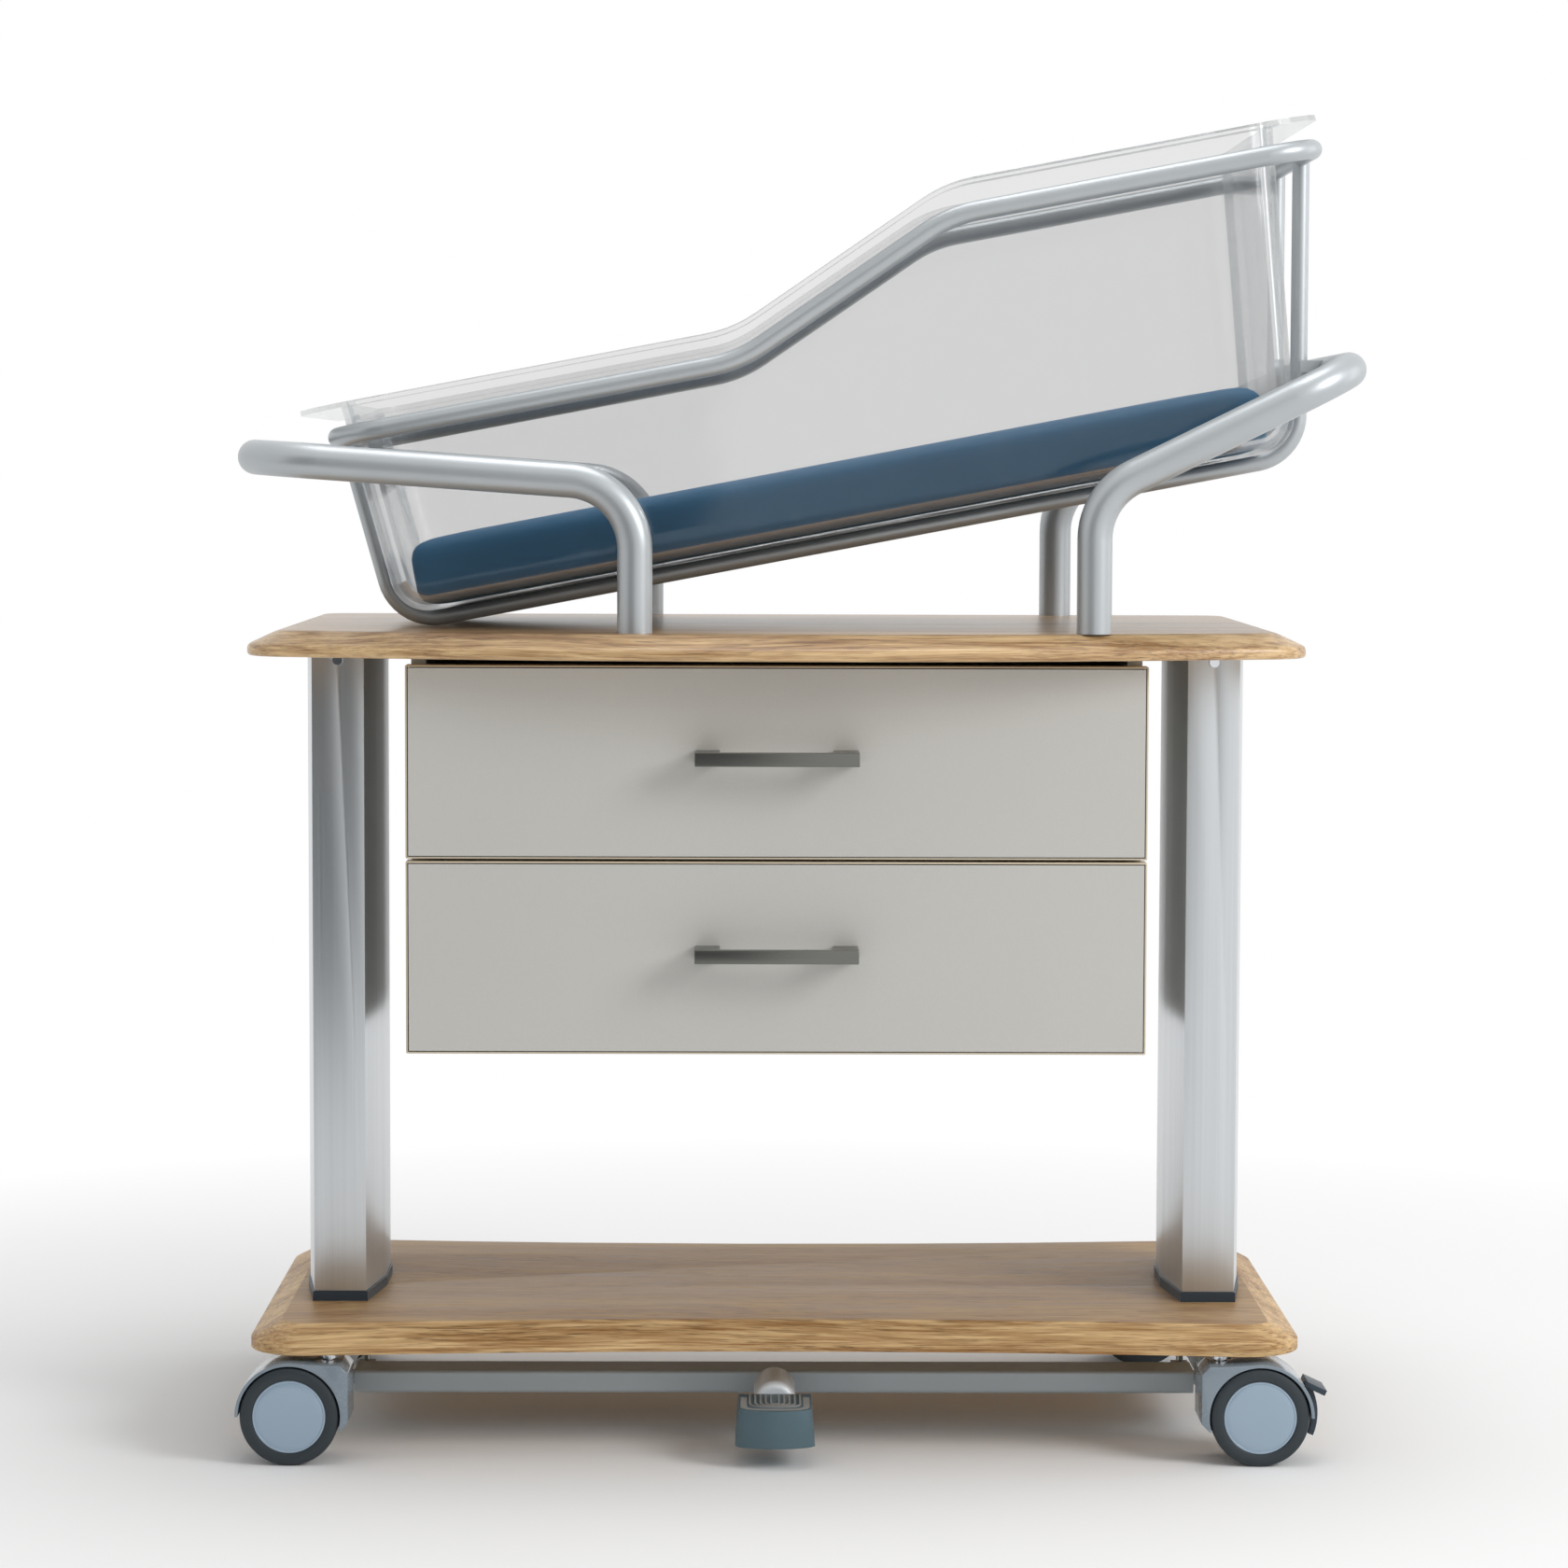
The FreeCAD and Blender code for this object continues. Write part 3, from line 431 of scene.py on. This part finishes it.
def dress(made, finish, smooth=35):
    """Gives the object its finish, smooth where its faces meet at less than the angle."""
    made.data.materials.clear()
    made.data.materials.append(finish_of(finish))
    for face in made.data.polygons:
        face.use_smooth = True
    made.data.set_sharp_from_angle(angle=math.radians(smooth))


def merged_copy(node):
    """A copy of a node's mesh, with its doubled corners joined."""
    mesh = bmesh.new()
    mesh.from_mesh(NODES[node].data)
    bmesh.ops.remove_doubles(mesh, verts=mesh.verts, dist=0.01 * MM)
    return mesh


def bevel_edges(mesh, edges, width, segments):
    bmesh.ops.bevel(
        mesh,
        geom=edges,
        offset=width,
        offset_type="OFFSET",
        affect="EDGES",
        segments=segments,
        profile=0.5,
        material=-1,
        clamp_overlap=True,
    )
    bmesh.ops.recalc_face_normals(mesh, faces=mesh.faces)


def softened(node, width, slot, finish=None, segments=2, angle=30):
    """A copy of the node with its sharp edges rounded, which stands for it."""
    mesh = merged_copy(node)
    bmesh.ops.dissolve_limit(
        mesh, angle_limit=math.radians(0.6), verts=mesh.verts, edges=mesh.edges, delimit={"NORMAL"}
    )
    sharp = [e for e in mesh.edges if len(e.link_faces) == 2 and e.calc_face_angle(0) > math.radians(angle)]
    bevel_edges(mesh, sharp, width, segments)
    made = piece_from(mesh, node + "_soft", BODY_OF[node], slot, finish, 40)
    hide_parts(node)
    return made


def spun(profile, centre, out, steps=96):
    """Spins a profile of (along the axle, radius) points about Y; out is -1 or 1."""
    mesh = bmesh.new()
    points = [mesh.verts.new(centre + Vector((0, out * along, radius))) for along, radius in profile]
    edges = [mesh.edges.new(pair) for pair in zip(points, points[1:])]
    bmesh.ops.spin(
        mesh,
        geom=points + edges,
        cent=centre,
        axis=(0, 1, 0),
        dvec=(0, 0, 0),
        angle=2 * math.pi,
        steps=steps,
        use_merge=True,
    )
    bmesh.ops.remove_doubles(mesh, verts=mesh.verts, dist=0.005 * MM)
    bmesh.ops.recalc_face_normals(mesh, faces=mesh.faces)
    return mesh


# ---------------------------------------------------------------- operators
class BASSINET_OT_boards(bpy.types.Operator):
    """Gives the table top and the base board their moulded edges and oak finish"""

    bl_idname = "bassinet.boards"
    bl_label = "Boards"

    def execute(self, context):
        for node, finish in (("table_top", "oak_table"), ("base_board", "oak_board")):
            softened(node, sizes().board_edge, "oak_board", finish, segments=4, angle=12)
        return {"FINISHED"}


class BASSINET_OT_columns(bpy.types.Operator):
    """Rounds the long edges of the outer columns"""

    bl_idname = "bassinet.columns"
    bl_label = "Columns"

    def execute(self, context):
        for side in ("left", "right"):
            softened("outer_column_" + side, 2 * sizes().metal_edge, "column_aluminium", segments=3)
        return {"FINISHED"}


class BASSINET_OT_frame_finishes(bpy.types.Operator):
    """Gives every part that keeps its shape the finish of its material"""

    bl_idname = "bassinet.frame_finishes"
    bl_label = "Frame finishes"

    def execute(self, context):
        for entry in frame["record"]["subparts"]:
            node = NODES[entry["node"]]
            if node.hide_render:
                continue
            node.data.materials.clear()
            node.data.materials.append(finish_of(entry["material_slot"]))
        return {"FINISHED"}


class BASSINET_OT_drawers(bpy.types.Operator):
    """Finishes the drawer fronts with their edge bands, and the bar pulls"""

    bl_idname = "bassinet.drawers"
    bl_label = "Drawers"

    def execute(self, context):
        for drawer in ("upper_drawer", "lower_drawer"):
            self.make_front(drawer)
            softened(drawer + "_pull", sizes().metal_edge, "pull_aluminium", segments=3)
        return {"FINISHED"}

    def make_front(self, drawer):
        """A panel inside a rounded edge band, with a fine groove between them."""
        low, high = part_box(drawer + "_front")
        band = sizes().band
        groove = sizes().groove
        side = Vector((band + groove, 0, band + groove))
        recess = Vector((0, groove, 0))
        panel = self.block(low + side + recess, high - side)
        made = piece_from(panel, drawer + "_panel", drawer, "drawer_board")
        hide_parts(drawer + "_front")
        hoop = self.block(low, high)
        flats = [f for f in hoop.faces if abs(f.normal.y) > 0.9]
        bmesh.ops.inset_individual(hoop, faces=flats, thickness=band)
        rims = [set(f.edges) for f in flats]
        bmesh.ops.delete(hoop, geom=flats, context="FACES_ONLY")
        bmesh.ops.bridge_loops(hoop, edges=list(rims[0] | rims[1]))
        corner = [e for e in hoop.edges if self.is_outer(e, low, high)]
        bevel_edges(hoop, corner, sizes().front_edge, 3)
        piece_from(hoop, drawer + "_band", drawer, "drawer_board", "edge_band")

    @staticmethod
    def block(low, high):
        """A plain box between two corners."""
        mesh = bmesh.new()
        size = high - low
        place = Matrix.Translation((low + high) / 2) @ Matrix.Diagonal((size.x, size.y, size.z, 1))
        bmesh.ops.create_cube(mesh, size=1.0, matrix=place)
        return mesh

    @staticmethod
    def is_outer(edge, low, high):
        """True for an edge whose ends both lie on the outside of the front."""
        def outside(point):
            across = min(abs(point.x - low.x), abs(point.x - high.x))
            up = min(abs(point.z - low.z), abs(point.z - high.z))
            return across < 1e-6 and up < 1e-6

        return all(outside(v.co) for v in edge.verts)


class BASSINET_OT_castors(bpy.types.Operator):
    """Makes the castors' hoods, tyres, wheel discs and brake levers"""

    bl_idname = "bassinet.castors"
    bl_label = "Castors"

    def execute(self, context):
        for castor in CASTORS:
            softened("castor_hood_" + castor, sizes().hood_edge, "hood_plastic", segments=3)
            for label, out in (("near", -1), ("far", 1)):
                self.make_wheel("castor_wheel_%s_%s" % (castor, label), out)
        for castor in CASTORS[1::2]:
            softened("brake_lever_" + castor, BRAKE_EDGE, "dark_plastic", segments=3)
        return {"FINISHED"}

    def make_wheel(self, node, out):
        low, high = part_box(node)
        radius = (high.z - low.z) / 2
        width = high.y - low.y
        rim = radius - TYRE_DEPTH
        inner = low.y if out > 0 else high.y
        centre = Vector(((low.x + high.x) / 2, inner, low.z + radius))
        tyre = [
            (0, rim),
            (0, radius - TYRE_SHOULDER),
            (0.8 * MM, radius - 0.8 * MM),
            (TYRE_SHOULDER, radius),
            (width - TYRE_SHOULDER, radius),
            (width - 0.9 * MM, radius - 0.7 * MM),
            (width, radius - 2.2 * MM),
            (width, rim + 1.4 * MM),
            (width - 0.5 * MM, rim + 0.3 * MM),
            (width - 1.5 * MM, rim),
            (0, rim),
        ]
        made = piece_from(spun(tyre, centre, out), node + "_tyre", BODY_OF[node], "tyre_rubber")
        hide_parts(node)
        dome = sizes().disc_dome
        face = width - 0.2 * MM
        disc = [
            (1.2 * MM, 4.2 * MM),
            (1.2 * MM, rim),
            (face - 0.7 * MM, rim),
            (face - 0.1 * MM, rim - 0.2 * MM),
            (face, rim - 0.6 * MM),
            (face, rim - 1.5 * MM),
            (face - 0.5 * MM, rim - 1.9 * MM),
        ]
        rings = 8
        for i in range(rings + 1):
            share = i / rings
            reach = (rim - 2.5 * MM) * (1 - share)
            disc.append((face - 0.25 * MM + dome * (1 - (1 - share) ** 2), max(reach, 0.0)))
        piece_from(spun(disc, centre, out), node + "_disc", BODY_OF[node], "hood_plastic", "wheel_disc")


class BASSINET_OT_release_bar(bpy.types.Operator):
    """Rounds the pedal lever and the rubber pad, and adds the ridges on the pad"""

    bl_idname = "bassinet.release_bar"
    bl_label = "Release bar and pedal"

    def execute(self, context):
        softened("pedal_pad", PAD_EDGE, "pad_rubber", segments=4)
        softened("pedal_lever", sizes().metal_edge, "satin_tube", "pedal_lever")
        self.make_ridges()
        return {"FINISHED"}

    def make_ridges(self):
        """Nested U-shaped ridges on top of the pad, inside a flat margin whose lighter finish is painted
        highlight of the pad's rounded front edge.
        """
        low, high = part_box("pedal_pad")
        middle = (low.x + high.x) / 2
        top = high.z - 0.2 * MM
        mesh = bmesh.new()
        start = (middle, high.y - 5 * MM, top)
        half_width, height = 0.75 * MM, 1.4 * MM
        for i in range(5):
            reach = (3.2 + 4.3 * i) * MM
            front = low.y + (27 - 2.8 * i) * MM
            self.add_ridge(mesh, start, reach, front, half_width, height)
        # The flat margin: a wide low strip in the lighter finish, painted highlight in place of the pad's lit
        # rounded front edge.
        start = (middle, high.y - 14 * MM, top)
        half_width, height = 2.6 * MM, 0.5 * MM
        self.add_ridge(mesh, start, 25.4 * MM, low.y + 8 * MM, half_width, height)
        bmesh.ops.recalc_face_normals(mesh, faces=mesh.faces)
        piece_from(mesh, "pedal_ridges_and_highlight", "pedal", "pad_rubber", "ridge_and_painted_highlight")

    def add_ridge(self, mesh, start, reach, front, half_width, height):
        """A U-shaped strip, open to the rear, whose legs lie at the reach from the start's middle."""
        middle, rear, z = start
        bend = min(reach, 13 * MM)
        squareness = 0.7
        line = [Vector((middle - reach, rear, z))]
        steps = 18
        for i in range(steps + 1):
            turn = math.pi * i / steps
            across = math.copysign(abs(math.cos(turn)) ** squareness, math.cos(turn))
            ahead = math.sin(turn) ** squareness
            line.append(Vector((middle - reach * across, front + bend * (1 - ahead), z)))
        line.append(Vector((middle + reach, rear, z)))
        strips = []
        for i, point in enumerate(line):
            along = line[min(i + 1, len(line) - 1)] - line[max(i - 1, 0)]
            side = Vector((along.y, -along.x, 0)).normalized() * half_width
            strips.append((mesh.verts.new(point - side), mesh.verts.new(point + side)))
        faces = [mesh.faces.new((a, b, d, c)) for (a, b), (c, d) in zip(strips, strips[1:])]
        raised = bmesh.ops.extrude_face_region(mesh, geom=faces)
        top = [v for v in raised["geom"] if isinstance(v, bmesh.types.BMVert)]
        bmesh.ops.translate(mesh, verts=top, vec=(0, 0, height))


class BASSINET_OT_mattress(bpy.types.Operator):
    """Makes the mattress cover, filled out by a short cloth simulation"""

    bl_idname = "bassinet.mattress"
    bl_label = "Mattress"

    def execute(self, context):
        mesh = merged_copy("mattress")
        cover = piece_from(mesh, "mattress_cover_piece", "mattress", "mattress_cover")
        self.fill_out(context, cover)
        for face in cover.data.polygons:
            face.use_smooth = True
        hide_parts("mattress")
        return {"FINISHED"}

    def fill_out(self, context, cover):
        context.view_layer.objects.active = cover
        remesh = cover.modifiers.new("even", "REMESH")
        remesh.mode = "VOXEL"
        remesh.voxel_size = COVER_MESH
        bpy.ops.object.modifier_apply(modifier=remesh.name)
        start = [v.co.copy() for v in cover.data.vertices]
        cloth = cover.modifiers.new("fill", "CLOTH")
        cloth.settings.use_pressure = True
        cloth.settings.uniform_pressure_force = 4
        cloth.settings.effector_weights.gravity = 0
        for step in range(1, COVER_STEPS + 1):
            context.scene.frame_set(step)
        bpy.ops.object.modifier_apply(modifier=cloth.name)
        context.scene.frame_set(1)
        limit = sizes().mattress_crown
        for vertex, home in zip(cover.data.vertices, start):
            move = vertex.co - home
            if move.length > limit:
                vertex.co = home + move.normalized() * limit


class BASSINET_OT_stage(bpy.types.Operator):
    """Sets the floor, the lights, the world and the camera"""

    bl_idname = "bassinet.stage"
    bl_label = "Stage"

    def execute(self, context):
        self.make_floor()
        self.make_card()
        self.make_world(context)
        self.make_lights()
        self.make_camera(context)
        context.scene.view_settings.view_transform = "Standard"
        return {"FINISHED"}

    def make_floor(self):
        mesh = bmesh.new()
        bmesh.ops.create_circle(mesh, cap_ends=True, segments=96, radius=12.0)
        data = bpy.data.meshes.new("floor")
        mesh.to_mesh(data)
        mesh.free()
        floor = bpy.data.objects.new("floor", data)
        bpy.context.scene.collection.objects.link(floor)
        s = Shader("floor_finish")
        x, y = s.axes()[:2]
        away = (x * x + y * y) ** 0.5
        lit_radius, white_radius = 0.55, 1.5
        lit = s.node("ShaderNodeBsdfDiffuse", feeds={0: (0.93, 0.93, 0.93, 1)})
        white = s.node("ShaderNodeEmission", feeds={0: (1, 1, 1, 1), 1: 1.0})
        seen = s.node("ShaderNodeLightPath", out="Is Camera Ray")
        for ray in ("Is Glossy Ray", "Is Transmission Ray"):
            seen = seen.most(s.node("ShaderNodeLightPath", out=ray))
        share = s.span(away, lit_radius, white_radius) * seen
        data.materials.append(s.finish(s.node("ShaderNodeMixShader", feeds={0: share, 1: lit, 2: white})))

    def make_card(self):
        """A dark card that stands and lies to the left of the camera, which only shiny surfaces show."""
        mesh = bmesh.new()
        fold = [(-1.7, 0.01), (-4.2, 0.01), (-4.2, 3.0)]
        rows = [[mesh.verts.new((x, y, z)) for x in (-4.0, -0.1)] for y, z in fold]
        for (a, b), (c, d) in zip(rows, rows[1:]):
            mesh.faces.new((a, b, d, c))
        data = bpy.data.meshes.new("card")
        mesh.to_mesh(data)
        mesh.free()
        card = bpy.data.objects.new("card", data)
        bpy.context.scene.collection.objects.link(card)
        data.materials.append(moulded("card_finish", linear((84, 88, 90)), 0.8))
        card.visible_camera = False
        card.visible_diffuse = False
        card.visible_shadow = False
        card.visible_transmission = False

    def make_world(self, context):
        world = bpy.data.worlds.new("studio")
        context.scene.world = world
        world.use_nodes = True
        tree = world.node_tree
        tree.nodes.clear()
        path = tree.nodes.new("ShaderNodeLightPath")
        plain = tree.nodes.new("ShaderNodeBackground")
        plain.inputs[1].default_value = WORLD_GLOW
        white = tree.nodes.new("ShaderNodeBackground")
        either = tree.nodes.new("ShaderNodeMath")
        either.operation = "MAXIMUM"
        both = tree.nodes.new("ShaderNodeMath")
        both.operation = "MAXIMUM"
        mix = tree.nodes.new("ShaderNodeMixShader")
        out = tree.nodes.new("ShaderNodeOutputWorld")
        for node in (plain, white):
            node.inputs[0].default_value = (1, 1, 1, 1)
        white.inputs[1].default_value = 1.0
        tree.links.new(path.outputs["Is Camera Ray"], either.inputs[0])
        tree.links.new(path.outputs["Is Transmission Ray"], either.inputs[1])
        tree.links.new(either.outputs[0], both.inputs[0])
        tree.links.new(path.outputs["Is Glossy Ray"], both.inputs[1])
        tree.links.new(both.outputs[0], mix.inputs[0])
        tree.links.new(plain.outputs[0], mix.inputs[1])
        tree.links.new(white.outputs[0], mix.inputs[2])
        tree.links.new(mix.outputs[0], out.inputs[0])

    def make_lights(self):
        target = (0, 0, 0.6)

        def panel(name, place, width, height, power):
            lamp = bpy.data.lights.new(name, "AREA")
            lamp.shape = "RECTANGLE"
            lamp.size = width
            lamp.size_y = height
            lamp.energy = power
            made = bpy.data.objects.new(name, lamp)
            made.location = place
            aim = Vector(target) - Vector(place)
            made.rotation_euler = aim.to_track_quat("-Z", "Y").to_euler()
            bpy.context.scene.collection.objects.link(made)

        panel("key", (2.8, -2.0, 2.1), 1.4, 1.4, 56)
        panel("overhead", (0.1, 0.1, 3.0), 1.6, 1.2, 24)
        panel("rim_right", (2.8, 0.6, 1.3), 0.7, 1.6, 5)

    def make_camera(self, context):
        lens = bpy.data.cameras.new("camera")
        lens.sensor_width = 36
        lens.lens = sizes().lens
        lens.clip_start = 0.05
        camera = bpy.data.objects.new("camera", lens)
        pitch = math.radians(4.19)
        yaw = math.radians(0.486)
        roll = 0.0031
        place = (-0.0425, -3.6265, 0.803)
        ahead = Vector((math.sin(yaw) * math.cos(pitch), math.cos(yaw) * math.cos(pitch), -math.sin(pitch)))
        level = Vector((math.cos(yaw), -math.sin(yaw), 0))
        upright = level.cross(ahead)
        right = level * math.cos(roll) + upright * math.sin(roll)
        above = right.cross(ahead)
        turn = Matrix((right, above, -ahead)).transposed().to_4x4()
        camera.matrix_world = Matrix.Translation(place) @ turn
        context.scene.collection.objects.link(camera)
        context.scene.camera = camera


STEPS = (
    BASSINET_OT_boards,
    BASSINET_OT_columns,
    BASSINET_OT_drawers,
    BASSINET_OT_castors,
    BASSINET_OT_release_bar,
    BASSINET_OT_mattress,
    BASSINET_OT_frame_finishes,
    BASSINET_OT_stage,
)


class BASSINET_PT_steps(bpy.types.Panel):
    """Lists the steps that dress the bassinet"""

    bl_idname = "BASSINET_PT_steps"
    bl_label = "Bassinet"
    bl_space_type = "VIEW_3D"
    bl_region_type = "UI"
    bl_category = "Bassinet"

    def draw(self, context):
        for step in STEPS:
            self.layout.operator(step.bl_idname)
        for name in BassinetSizes.__annotations__:
            self.layout.prop(sizes(), name)
        for name in BassinetColours.__annotations__:
            self.layout.prop(colours(), name)


CLASSES = (BassinetColours, BassinetSizes, *STEPS, BASSINET_PT_steps)


def register():
    for each in CLASSES:
        bpy.utils.register_class(each)
    bpy.types.Scene.bassinet_colours = bpy.props.PointerProperty(type=BassinetColours)
    bpy.types.Scene.bassinet_sizes = bpy.props.PointerProperty(type=BassinetSizes)


def unregister():
    del bpy.types.Scene.bassinet_sizes
    del bpy.types.Scene.bassinet_colours
    for each in reversed(CLASSES):
        bpy.utils.unregister_class(each)


def main():
    register()
    for step in STEPS:
        group, name = step.bl_idname.split(".")
        getattr(getattr(bpy.ops, group), name)()


if __name__ == "__main__":
    main()
